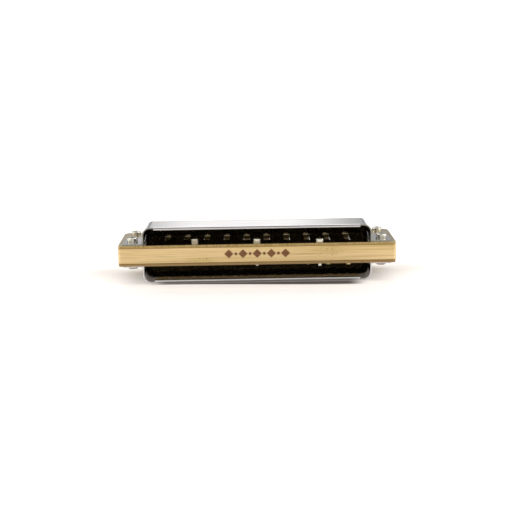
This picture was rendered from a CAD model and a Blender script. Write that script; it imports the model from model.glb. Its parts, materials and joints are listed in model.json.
import json
import math

import bmesh
import bpy
from mathutils import Matrix, Vector


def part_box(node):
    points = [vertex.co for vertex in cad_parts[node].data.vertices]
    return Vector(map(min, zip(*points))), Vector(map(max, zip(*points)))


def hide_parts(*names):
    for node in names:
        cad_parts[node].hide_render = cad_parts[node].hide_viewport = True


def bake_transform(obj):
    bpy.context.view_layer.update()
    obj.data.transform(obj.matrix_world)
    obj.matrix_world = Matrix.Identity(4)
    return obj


# The harmonica's looks: materials for its CAD nodes, twenty bending reeds, a table and soft lights.
# +Z is up, -Y is the mouth side, and the open backs of the covers face +Y, towards the camera.

MM = 0.001

# ---- camera, in millimetres and degrees, about the middle of the comb ------------------------
CAMERA_DISTANCE = 427.2
CAMERA_ELEVATION = 11.115
CAMERA_YAW = 0.295
CAMERA_ROLL = -0.937
CAMERA_LENS = 79.4
AIM_BELOW = 3.33
AIM_LEFT = 0.39

# ---- what the softboxes face, and the floor's size, in metres ---------------------------------
SOFTBOX_TARGET = (0.0, 0.0, 0.01)
FLOOR_RADIUS = 0.9

# ---- reeds, in millimetres --------------------------------------------------------------------
REED_EDGE = 0.04
REED_SHOULDER = 0.5
REED_CORNER = 0.35
REED_THIN_SHARE = 0.6
REED_TONGUE_SHARE = 0.93
REED_STATIONS = 24

HOLES = range(1, 11)

# ---- edges that the materials follow, in millimetres ------------------------------------------
# LIP_END is where a cover's rolled lip ends along X, and LOWER_SEAM_Z where the lower plate meets
# the comb. SLOT_REACH is |y| past the slots' ends. From SLOT_RIM_RISE above or below the comb's
# middle, a slot's wall is bright.
LIP_END = 37.9
LOWER_SEAM_Z = 7.5
SLOT_REACH = (12.4, 11.8)
SLOT_RIM_RISE = (3.5, 3.65)

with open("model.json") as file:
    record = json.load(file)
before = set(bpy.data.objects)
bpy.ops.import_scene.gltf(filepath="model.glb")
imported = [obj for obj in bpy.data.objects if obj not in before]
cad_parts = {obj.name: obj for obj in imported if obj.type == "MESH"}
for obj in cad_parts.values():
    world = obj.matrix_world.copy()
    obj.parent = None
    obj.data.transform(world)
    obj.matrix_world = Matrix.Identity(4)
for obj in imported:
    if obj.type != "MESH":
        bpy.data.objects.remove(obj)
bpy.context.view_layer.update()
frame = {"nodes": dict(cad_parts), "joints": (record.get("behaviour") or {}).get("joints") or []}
nodes = frame["nodes"]
joints = {joint["name"]: joint for joint in frame["joints"]}
comb_low, comb_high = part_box("comb")
COMB_MIDDLE_Z = (comb_low.z + comb_high.z) / 2 / MM


# ---- node materials ---------------------------------------------------------------------------
class NodeTree:
    """Short ways to add and link the nodes of one tree."""

    def __init__(self, tree):
        self.tree = tree

    def add(self, kind, settings=None, **inputs):
        """Adds a node, with its settings, and sets or links its named inputs."""
        node = self.tree.nodes.new(kind)
        for key, value in (settings or {}).items():
            setattr(node, key, value)
        for key, value in inputs.items():
            self.put(node.inputs[key], value)
        return node

    def put(self, socket, value):
        if isinstance(value, bpy.types.NodeSocket):
            self.tree.links.new(value, socket)
        else:
            socket.default_value = value

    def vector(self, operation, value, **inputs):
        node = self.add("ShaderNodeVectorMath", {"operation": operation}, **inputs)
        self.put(node.inputs[0], value)
        return node.outputs[0]

    def math(self, operation, a, b=0.0, c=0.0):
        node = self.add("ShaderNodeMath", {"operation": operation})
        for socket, value in zip(node.inputs, (a, b, c)):
            self.put(socket, value)
        return node.outputs[0]

    def size(self, value):
        """The value without its sign."""
        return self.math("ABSOLUTE", value)

    def product(self, first, *others):
        for other in others:
            first = self.math("MULTIPLY", first, other)
        return first

    def axis(self, vector, name):
        return self.add("ShaderNodeSeparateXYZ", Vector=vector).outputs[name]

    def ramp(self, value, low, high, to_low=0.0, to_high=1.0):
        """Maps low..high smoothly to to_low..to_high, without going past either end."""
        node = self.add("ShaderNodeMapRange", {"interpolation_type": "SMOOTHSTEP"}, Value=value)
        for key, number in (("From Min", low), ("From Max", high), ("To Min", to_low), ("To Max", to_high)):
            node.inputs[key].default_value = number
        return node.outputs["Result"]

    def blend(self, share, a, b):
        """A colour from a to b."""
        node = self.add("ShaderNodeMix", {"data_type": "RGBA"})
        self.put(node.inputs[0], share)
        for socket, value in ((node.inputs[6], a), (node.inputs[7], b)):
            self.put(socket, (*value, 1.0) if isinstance(value, tuple) else value)
        return node.outputs[2]


class Material(NodeTree):
    """A node material. Its position is in millimetres in the object's own frame."""

    def __init__(self, name):
        self.data = bpy.data.materials.new(name)
        self.data.use_nodes = True
        super().__init__(self.data.node_tree)
        self.shader = self.tree.nodes["Principled BSDF"]
        coordinates = self.add("ShaderNodeTexCoord")
        metres = coordinates.outputs["Object"]
        self.position = self.vector("SCALE", metres, Scale=1 / MM)
        self.normal = coordinates.outputs["Normal"]

    def set(self, **inputs):
        """Sets or links sockets of the main shader, with _ for each space in a name."""
        for key, value in inputs.items():
            self.put(self.shader.inputs[key.replace("_", " ")], value)

    def stretched(self, scale, seed=0.0):
        """The position, scaled by cycles per millimetre along X, Y and Z."""
        node = self.add("ShaderNodeMapping", Vector=self.position, Scale=scale, Location=(seed, seed, seed))
        return node.outputs[0]

    def noise(self, scale, detail=3.0, roughness=0.5, seed=0.0, distortion=0.0):
        node = self.add(
            "ShaderNodeTexNoise",
            Vector=self.stretched(scale, seed),
            Scale=1.0,
            Detail=detail,
            Roughness=roughness,
            Distortion=distortion,
        )
        return node.outputs["Fac"]

    def bump(self, height, distance, under=None):
        """A bump of that height in millimetres, over another bump if one is given."""
        node = self.add("ShaderNodeBump", Height=height, Distance=distance * MM, Strength=1.0)
        if under is not None:
            self.put(node.inputs["Normal"], under)
        return node.outputs["Normal"]


def ornament_mask(m):
    """1 inside the lozenges and dots cut in the comb's back, fading out over a scorched edge."""
    back = comb_high.y / MM
    middle = COMB_MIDDLE_Z + 0.3
    pitch, half_width, half_height, dot = 5.2, 1.75, 1.7, 0.6
    x, y, z = (m.axis(m.position, name) for name in "XYZ")
    rise = m.size(m.math("SUBTRACT", z, middle))
    along = m.size(m.math("WRAP", x, pitch / 2, -pitch / 2))
    lozenge = m.math("ADD", m.math("DIVIDE", along, half_width), m.math("DIVIDE", rise, half_height))
    across = m.math("SUBTRACT", pitch / 2, along)
    reach = m.math("SQRT", m.math("ADD", m.product(across, across), m.product(rise, rise)))
    shape = m.math("MAXIMUM", m.ramp(lozenge, 1.15, 0.60), m.ramp(reach, dot + 0.15, dot - 0.45))
    inside = m.ramp(m.size(x), 12.45, 12.3)
    behind = m.ramp(y, back - 0.6, back - 0.4)
    return m.product(shape, inside, behind)


def bamboo():
    """Oiled bamboo in three plies: straight strands along X, two nodes with dark flecks, end grain."""
    m = Material("bamboo")
    ply_height = (comb_high.z - comb_low.z) / 3 / MM
    x, z = (m.axis(m.position, name) for name in "XZ")
    ply = m.math("FLOOR", m.math("DIVIDE", m.math("SUBTRACT", z, comb_low.z / MM), ply_height))
    broad = m.noise((0.012, 0.35, 0.55), detail=2.0, seed=3.1)
    strands = m.noise((0.02, 1.5, 2.6), detail=4.0, roughness=0.6, seed=7.7)
    fibres = m.noise((0.07, 7.0, 9.0), detail=2.0, seed=1.3)
    vessels = m.noise((0.03, 3.0, 4.4), detail=1.0, seed=12.9)

    colour = m.blend(m.ramp(broad, 0.35, 0.65), (0.74, 0.53, 0.225), (0.87, 0.65, 0.325))
    tone = m.math("FRACT", m.product(m.math("ADD", ply, 1.3), 0.618))
    colour = m.blend(m.product(tone, 0.35), colour, (0.70, 0.50, 0.24))
    colour = m.blend(m.ramp(strands, 0.50, 0.68, 0.0, 0.8), colour, (0.56, 0.41, 0.145))
    colour = m.blend(m.ramp(strands, 0.46, 0.30, 0.0, 0.7), colour, (0.90, 0.70, 0.38))
    colour = m.blend(m.ramp(fibres, 0.52, 0.75, 0.0, 0.35), colour, (0.40, 0.25, 0.095))
    colour = m.blend(m.ramp(vessels, 0.66, 0.74, 0.0, 0.45), colour, (0.34, 0.20, 0.075))

    wander = m.product(m.noise((0.05, 0.5, 0.8), seed=5.0), 9.0)
    flecks = m.ramp(m.noise((1.1, 2.2, 2.6), detail=1.0, seed=21.0), 0.62, 0.68)
    for centre, layer in ((25.0, 0.3), (-21.0, 1.5)):
        away = m.size(m.math("SUBTRACT", m.math("ADD", x, wander), centre))
        near = m.ramp(away, 8.0, 1.5)
        in_ply = m.ramp(m.size(m.math("SUBTRACT", ply, layer)), 0.9, 0.1)
        node = m.product(near, in_ply)
        colour = m.blend(m.product(node, 0.55), colour, (0.56, 0.42, 0.13))
        colour = m.blend(m.product(node, m.product(flecks, 0.85)), colour, (0.19, 0.11, 0.04))

    from_middle = m.size(m.math("SUBTRACT", z, COMB_MIDDLE_Z))
    edge = m.ramp(from_middle, 2.55, 2.85, 0.0, 0.55)
    colour = m.blend(edge, colour, (0.33, 0.20, 0.075))
    burn = ornament_mask(m)
    soot = m.noise((1.5, 1.5, 1.5), seed=2.0)
    char = m.blend(m.ramp(soot, 0.35, 0.65), (0.25, 0.105, 0.034), (0.16, 0.060, 0.018))
    colour = m.blend(m.ramp(burn, 0.0, 0.55, 0.0, 0.92), colour, (0.13, 0.042, 0.012))
    colour = m.blend(m.ramp(burn, 0.75, 1.0), colour, char)
    m.set(Base_Color=colour)
    m.set(Roughness=m.math("ADD", m.ramp(strands, 0.3, 0.7, 0.42, 0.58), m.product(burn, 0.25)))
    m.set(Coat_Weight=0.12, Coat_Roughness=0.35, Specular_IOR_Level=0.45)
    grain = m.bump(fibres, 0.05)
    grain = m.bump(strands, 0.08, under=grain)
    m.set(Normal=grain)
    return m.data


def brass_plate():
    """Rolled brass: a scratched face, dull sheared edges, and a bright burr on the lower plate's edge."""
    m = Material("brass_plate")
    upright = m.size(m.axis(m.normal, "Z"))
    edge = m.ramp(upright, 0.85, 0.45)
    y = m.axis(m.position, "Y")
    z = m.axis(m.position, "Z")
    from_comb = m.size(m.math("SUBTRACT", z, COMB_MIDDLE_Z))
    lip = m.ramp(from_comb, *SLOT_RIM_RISE)
    among_slots = m.ramp(m.size(y), *SLOT_REACH)
    slot = m.product(edge, lip, among_slots)
    scratches = m.noise((0.05, 14.0, 2.0), detail=2.0, seed=4.0)
    shear = m.noise((5.0, 5.0, 0.35), detail=2.0, seed=9.0)
    tarnish = m.noise((0.06, 0.10, 0.10), detail=3.0, roughness=0.6, seed=6.0)
    spots = m.noise((0.5, 0.5, 0.5), detail=2.0, seed=15.0)
    colour = m.blend(m.ramp(tarnish, 0.40, 0.65), (0.70, 0.60, 0.38), (0.58, 0.48, 0.28))
    colour = m.blend(m.ramp(spots, 0.60, 0.75, 0.0, 0.4), colour, (0.46, 0.37, 0.20))
    cut = m.blend(m.ramp(shear, 0.35, 0.7), (0.42, 0.31, 0.13), (0.28, 0.195, 0.07))
    burr = m.product(m.ramp(z, 7.35, 7.2), edge)
    cut = m.blend(burr, cut, (0.98, 0.90, 0.68))
    cut = m.blend(m.ramp(z, 13.5, 13.3), cut, (0.30, 0.19, 0.07))
    cut = m.blend(m.math("COMPARE", z, LOWER_SEAM_Z, 0.12), cut, (0.20, 0.13, 0.04))
    colour = m.blend(edge, colour, cut)
    colour = m.blend(slot, colour, (0.80, 0.74, 0.60))
    under = m.product(edge, among_slots, m.math("SUBTRACT", 1.0, lip))
    colour = m.blend(under, colour, (0.10, 0.08, 0.04))
    m.set(Base_Color=colour, Metallic=m.math("SUBTRACT", 1.0, m.product(burr, 0.9)))
    face_roughness = m.ramp(scratches, 0.3, 0.7, 0.12, 0.22)
    edge_roughness = m.product(edge, m.ramp(shear, 0.3, 0.7, 0.34, 0.48))
    m.set(Roughness=m.math("MAXIMUM", face_roughness, edge_roughness))
    bump = m.bump(m.product(scratches, m.math("SUBTRACT", 1.0, edge)), 0.004)
    bump = m.bump(m.product(shear, edge), 0.03, under=bump)
    m.set(Normal=bump)
    return m.data


def inside_mask(m, level):
    """1 on the faces of a cover that look inwards, where level is its height at the plate."""
    x, y, z = (m.axis(m.position, name) for name in "XYZ")
    across = m.math("SUBTRACT", x, m.math("MAXIMUM", m.math("MINIMUM", x, 37.0), -37.0))
    along = m.math("MINIMUM", m.math("ADD", y, 2.0), 0.0)
    outward = m.add("ShaderNodeCombineXYZ", X=across, Y=along, Z=m.math("SUBTRACT", z, level))
    away = m.vector("NORMALIZE", outward.outputs[0])
    facing = m.add("ShaderNodeVectorMath", {"operation": "DOT_PRODUCT"})
    m.put(facing.inputs[0], away)
    m.put(facing.inputs[1], m.normal)
    inward = m.ramp(facing.outputs["Value"], -0.05, -0.3)
    past_lip = m.ramp(m.size(x), LIP_END, LIP_END + 0.2)
    clear = m.math("MAXIMUM", m.ramp(y, 11.55, 11.35), past_lip)
    return m.product(inward, clear)


def cover_metal(name, rim_colour, worn_share, hem_shade):
    """Polished sheet: scratched and mirror bright outside, blackened inside, worn near its open back.

    rim_colour is the cut edge at the end of the rolled lip, worn_share how far the blackening is
    rubbed off, and hem_shade how much of the crown's darkening reaches the lip.
    """
    m = Material(f"{name}_metal")
    low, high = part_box(name)
    back = high.y / MM
    level = (low.z if name == "top_cover" else high.z) / MM
    inside = inside_mask(m, level)
    x, y = (m.axis(m.position, axis) for axis in "XY")
    facing_back = m.ramp(m.axis(m.normal, "Y"), 0.8, 0.95)
    at_back = m.ramp(y, back - 0.06, back - 0.03)
    aside = m.size(x)
    at_end = m.ramp(aside, LIP_END - 0.2, LIP_END + 0.2)
    rim = m.product(facing_back, at_back, at_end)
    hairlines = m.noise((0.9, 9.0, 9.0), detail=2.0, seed=2.5, distortion=0.6)
    cross = m.noise((9.0, 0.9, 9.0), detail=2.0, seed=8.5, distortion=0.6)
    smears = m.noise((0.05, 0.09, 0.09), detail=3.0, seed=11.0)
    scale = m.noise((0.5, 0.5, 0.5), detail=4.0, roughness=0.65, seed=4.5)
    lines = m.math("ADD", m.ramp(hairlines, 0.62, 0.72), m.ramp(cross, 0.66, 0.74))
    colour = m.blend(m.ramp(smears, 0.35, 0.65), (0.83, 0.825, 0.82), (0.77, 0.765, 0.765))
    level_face = m.size(m.axis(m.normal, "Z"))
    between_ends = m.ramp(aside, LIP_END + 0.1, LIP_END)
    hem = m.product(m.ramp(y, back - 1.7, back - 1.5), between_ends)
    sheet = m.ramp(hem, 0.0, 1.0, 1.0, hem_shade)
    colour = m.blend(m.ramp(y, 2.5, -0.5, 0.0, 0.3), colour, (0.48, 0.47, 0.475))
    colour = m.blend(m.ramp(y, -8.5, -9.8, 0.0, 0.6), colour, (0.48, 0.47, 0.475))
    shade = m.product(m.ramp(level_face, 0.9995, 0.99, 0.0, 0.4), sheet)
    colour = m.blend(shade, colour, (0.44, 0.43, 0.435))
    shade = m.product(m.ramp(level_face, 0.99, 0.82, 0.0, 0.9), sheet)
    colour = m.blend(shade, colour, (0.28, 0.27, 0.275))
    dark = m.blend(m.ramp(scale, 0.35, 0.65), (0.15, 0.14, 0.125), (0.10, 0.095, 0.085))
    above = m.size(m.math("SUBTRACT", m.axis(m.position, "Z"), level))
    corner = m.ramp(aside, LIP_END - 0.9, LIP_END + 0.6)
    worn = m.blend(corner, (0.74, 0.57, 0.32), (0.90, 0.87, 0.89))
    rubbed = m.product(m.ramp(y, 2.5, 5.0, 0.0, worn_share), m.ramp(above, 3.6, 4.2))
    dark = m.blend(rubbed, dark, worn)
    colour = m.blend(inside, colour, dark)
    colour = m.blend(rim, colour, rim_colour)
    oxide = m.product(inside, m.product(rubbed, 0.9))
    m.set(Base_Color=colour, Metallic=m.math("SUBTRACT", 1.0, oxide))
    polished = m.math("ADD", m.ramp(smears, 0.35, 0.7, 0.07, 0.13), m.product(lines, 0.06))
    blackened = m.product(inside, m.ramp(scale, 0.3, 0.7, 0.20, 0.30))
    dull = m.math("MAXIMUM", blackened, m.product(rim, 0.30))
    m.set(Roughness=m.math("MAXIMUM", polished, dull))
    m.set(Normal=m.bump(m.math("ADD", hairlines, cross), 0.002))
    return m.data


def nickel(name, bright, worn):
    """Plated steel fasteners: bright, with faint turning marks round each head."""
    m = Material(name)
    turning = m.noise((3.0, 3.0, 12.0), detail=2.0, seed=3.0)
    wear = m.noise((0.6, 0.6, 0.6), detail=3.0, seed=5.0)
    colour = m.blend(m.ramp(wear, 0.35, 0.7), bright, worn)
    m.set(Base_Color=colour, Metallic=1.0, Roughness=m.ramp(wear, 0.3, 0.7, 0.12, 0.22))
    m.set(Normal=m.bump(turning, 0.01))
    return m.data


def reed_brass():
    """Milled reed brass: fine marks along each reed."""
    m = Material("reed_brass")
    marks = m.noise((9.0, 0.25, 9.0), detail=2.0, seed=3.0)
    wear = m.noise((0.4, 0.3, 0.4), detail=3.0, seed=5.0)
    colour = m.blend(m.ramp(wear, 0.35, 0.7), (0.66, 0.51, 0.27), (0.50, 0.37, 0.17))
    m.set(Base_Color=colour, Metallic=1.0, Roughness=m.ramp(marks, 0.3, 0.7, 0.16, 0.26))
    m.set(Normal=m.bump(marks, 0.01))
    return m.data


def rivet_brass():
    """Duller, darker brass than the reeds, with turning marks."""
    m = Material("rivet_brass")
    turning = m.noise((2.5, 2.5, 10.0), detail=2.0, seed=1.0)
    colour = m.blend(m.ramp(turning, 0.35, 0.7), (0.56, 0.44, 0.25), (0.42, 0.32, 0.16))
    m.set(Base_Color=colour, Metallic=1.0, Roughness=m.ramp(turning, 0.3, 0.7, 0.18, 0.32))
    m.set(Normal=m.bump(turning, 0.01))
    return m.data


def paint_nodes():
    """Gives each shown CAD node its material."""
    plates = brass_plate()
    screws = nickel("nickel_plate", (0.70, 0.68, 0.60), (0.52, 0.50, 0.42))
    rivets = rivet_brass()
    choices = {
        "comb": bamboo(),
        "blow_reed_plate": plates,
        "draw_reed_plate": plates,
        "top_cover": cover_metal("top_cover", (0.24, 0.24, 0.21), 0.0, 0.5),
        "bottom_cover": cover_metal("bottom_cover", (0.62, 0.60, 0.61), 1.0, 0.1),
        "plate_screws": screws,
        "cover_screws": screws,
        "cover_nuts": nickel("dull_nickel", (0.27, 0.22, 0.165), (0.18, 0.145, 0.10)),
        "blow_rivets": rivets,
        "draw_rivets": rivets,
    }
    for name, material in choices.items():
        nodes[name].data.materials.clear()
        nodes[name].data.materials.append(material)


# ---- reeds ------------------------------------------------------------------------------------
def reed_mesh(kind, hole, material):
    """One strip of brass in place of a fixed root and its tongue, bending where they meet."""
    tongue, root = f"{kind}_reed_{hole:02d}", f"{kind}_reed_root_{hole:02d}"
    joint = joints[f"{tongue}_bend"]
    hinge = Vector(joint["pos_m"])
    root_low, root_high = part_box(root)
    tongue_low, tongue_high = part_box(tongue)
    way = 1 if tongue_high.y - hinge.y > hinge.y - tongue_low.y else -1
    tip = tongue_high.y if way > 0 else tongue_low.y
    bevel = REED_EDGE * MM
    shoulder = REED_SHOULDER * MM
    free = abs(tip - hinge.y) - bevel
    gap = (tongue_high.z - tongue_low.z) - (root_high.z - root_low.z)
    root_back = root_low.y if way > 0 else root_high.y
    root_front = root_high.y if way > 0 else root_low.y
    wide = (root_high.x - root_low.x) / 2
    narrow = (tongue_high.x - tongue_low.x) / 2
    thick = root_high.z - root_low.z

    stations = [
        (root_back, wide - shoulder / 2, thick),
        (root_back + way * REED_CORNER * MM, wide, thick),
        (root_front - way * shoulder, wide, thick),
        (root_front, narrow, thick),
    ]
    for step in range(REED_STATIONS + 1):
        share = step / REED_STATIONS
        belly = 1 - (1 - REED_THIN_SHARE) * math.sin(math.pi * min(share * 1.15, 1.0)) ** 2
        stations.append((hinge.y + way * free * share, narrow, thick * belly * REED_TONGUE_SHARE))

    bm = bmesh.new()
    rings = []
    for y, half, depth in stations:
        drop = gap * (max(0.0, way * (y - hinge.y)) / free) ** 1.5
        top = root_high.z - drop
        foot = top - depth
        outline = [
            (-half + bevel, top),
            (half - bevel, top),
            (half, top - bevel),
            (half, foot + bevel),
            (half - bevel, foot),
            (-half + bevel, foot),
            (-half, foot + bevel),
            (-half, top - bevel),
        ]
        rings.append([bm.verts.new((hinge.x + x, y, z)) for x, z in outline])
    for a, b in zip(rings, rings[1:]):
        for i in range(len(a)):
            j = (i + 1) % len(a)
            bm.faces.new((a[i], a[j], b[j], b[i]))
    bm.faces.new(rings[0])
    bm.faces.new(rings[-1])
    bmesh.ops.recalc_face_normals(bm, faces=bm.faces)
    mesh = bpy.data.meshes.new(f"{kind}_reed_strip_{hole:02d}")
    bm.to_mesh(mesh)
    bm.free()
    mesh.materials.append(material)
    reed = bpy.data.objects.new(mesh.name, mesh)
    bpy.context.scene.collection.objects.link(reed)
    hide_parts(tongue, root)
    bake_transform(reed)


# ---- camera, floor and lights -----------------------------------------------------------------
def look_at(position, target, roll=0.0):
    turn = (target - position).to_track_quat("-Z", "Y").to_matrix().to_4x4()
    return Matrix.Translation(position) @ turn @ Matrix.Rotation(math.radians(roll), 4, "Z")


def add_camera():
    """Behind the instrument and a little above it, as far off as a table-top lens stands."""
    centre = (comb_low + comb_high) / 2
    yaw, rise = math.radians(CAMERA_YAW), math.radians(CAMERA_ELEVATION)
    away = Vector((math.sin(yaw) * math.cos(rise), math.cos(yaw) * math.cos(rise), math.sin(rise)))
    position = centre + away * CAMERA_DISTANCE * MM
    right = (-away).cross(Vector((0, 0, 1))).normalized()
    up = right.cross(-away)
    target = centre - up * AIM_BELOW * MM - right * AIM_LEFT * MM
    data = bpy.data.cameras.new("camera")
    data.sensor_width = 36
    data.lens = CAMERA_LENS
    data.clip_start = 0.01
    camera = bpy.data.objects.new("camera", data)
    camera.matrix_world = look_at(position, target, CAMERA_ROLL)
    bpy.context.scene.collection.objects.link(camera)
    bpy.context.scene.camera = camera


def add_softbox(name, position, width, height, watts):
    """A white rectangular light that faces the instrument."""
    data = bpy.data.lights.new(name, "AREA")
    data.shape = "RECTANGLE"
    data.size = width
    data.size_y = height
    data.energy = watts
    lamp = bpy.data.objects.new(name, data)
    lamp.matrix_world = look_at(Vector(position), Vector(SOFTBOX_TARGET))
    bpy.context.scene.collection.objects.link(lamp)


def add_floor():
    """A round sheet of pale paper: it glows away from the instrument and darkens where that touches it."""
    bm = bmesh.new()
    bmesh.ops.create_circle(bm, cap_ends=True, segments=96, radius=FLOOR_RADIUS)
    mesh = bpy.data.meshes.new("floor")
    bm.to_mesh(mesh)
    bm.free()
    m = Material("floor_paper")
    length = m.add("ShaderNodeVectorMath", {"operation": "LENGTH"})
    m.put(length.inputs[0], m.position)
    away = length.outputs["Value"]
    fibres = m.noise((0.9, 0.9, 0.9), detail=3.0)
    x, y = (m.axis(m.position, name) for name in "XY")
    behind = m.math("DIVIDE", m.math("SUBTRACT", y, 12.6), m.ramp(x, 38.0, -36.0, 3.0, 8.0))
    contact = m.product(m.ramp(behind, 1.0, 0.7), m.ramp(m.size(x), 41.0, 33.0), m.ramp(y, -12.0, -8.0))
    shade = m.blend(m.ramp(y, 13.0, 15.0), (0.50, 0.48, 0.47), (0.13, 0.115, 0.105))
    paper = m.blend(fibres, (0.90, 0.875, 0.85), (0.88, 0.855, 0.83))
    m.set(Base_Color=m.blend(contact, paper, shade), Roughness=0.8, Specular_IOR_Level=0.15)
    near = m.ramp(away, 35.0, 110.0, 0.03, 0.25)
    side = m.product(m.ramp(y, -8.0, 14.0, 0.0, 0.22), m.ramp(y, 32.0, 16.0))
    near = m.product(m.math("ADD", near, side), m.math("SUBTRACT", 1.0, contact))
    glow = m.math("ADD", near, m.ramp(away, 90.0, 320.0, 0.0, 0.65))
    m.set(Emission_Color=(1.0, 0.93, 0.86, 1.0), Emission_Strength=glow)
    mesh.materials.append(m.data)
    floor = bpy.data.objects.new("floor", mesh)
    bpy.context.scene.collection.objects.link(floor)


def add_world():
    """A studio: white at the horizon, a bright patch beyond the mouth side, and a dim room above."""
    world = bpy.data.worlds.new("studio")
    world.use_nodes = True
    bpy.context.scene.world = world
    m = NodeTree(world.node_tree)
    way = m.add("ShaderNodeTexCoord").outputs["Generated"]
    x, y, z = (m.axis(way, name) for name in "XYZ")
    horizon = m.ramp(z, 0.10, 0.05)
    beyond = m.ramp(y, 0.0, -0.5)
    aside = m.math("DIVIDE", x, m.math("MINIMUM", y, -0.01))
    aside = m.size(m.math("ADD", aside, 0.006))
    patch = m.product(m.ramp(aside, 0.125, 0.035), m.ramp(z, 0.42, 0.28), beyond)
    room = m.blend(m.ramp(z, 0.55, 0.95), (0.72, 0.69, 0.655), (0.28, 0.28, 0.285))
    room = m.blend(beyond, room, (0.36, 0.355, 0.355))
    room = m.blend(patch, room, (1.08, 1.07, 1.06))
    room = m.blend(horizon, room, (1.05, 1.05, 1.05))
    background = m.tree.nodes["Background"]
    m.put(background.inputs["Color"], room)
    background.inputs["Strength"].default_value = 1.0


def add_light():
    """A softbox at each side and one beyond the mouth side, in the studio round them."""
    add_world()
    add_softbox("softbox_left", (0.60, -0.06, 0.48), 0.30, 0.7, 2.3)
    add_softbox("softbox_right", (-0.60, -0.02, 0.48), 0.30, 0.7, 2.7)
    add_softbox("softbox_back", (0.02, -0.60, 0.85), 0.9, 0.6, 4.4)
    bpy.context.scene.view_settings.view_transform = "Standard"


paint_nodes()
strip = reed_brass()
for kind in ("blow", "draw"):
    for hole in HOLES:
        reed_mesh(kind, hole, strip)
add_camera()
add_floor()
add_light()
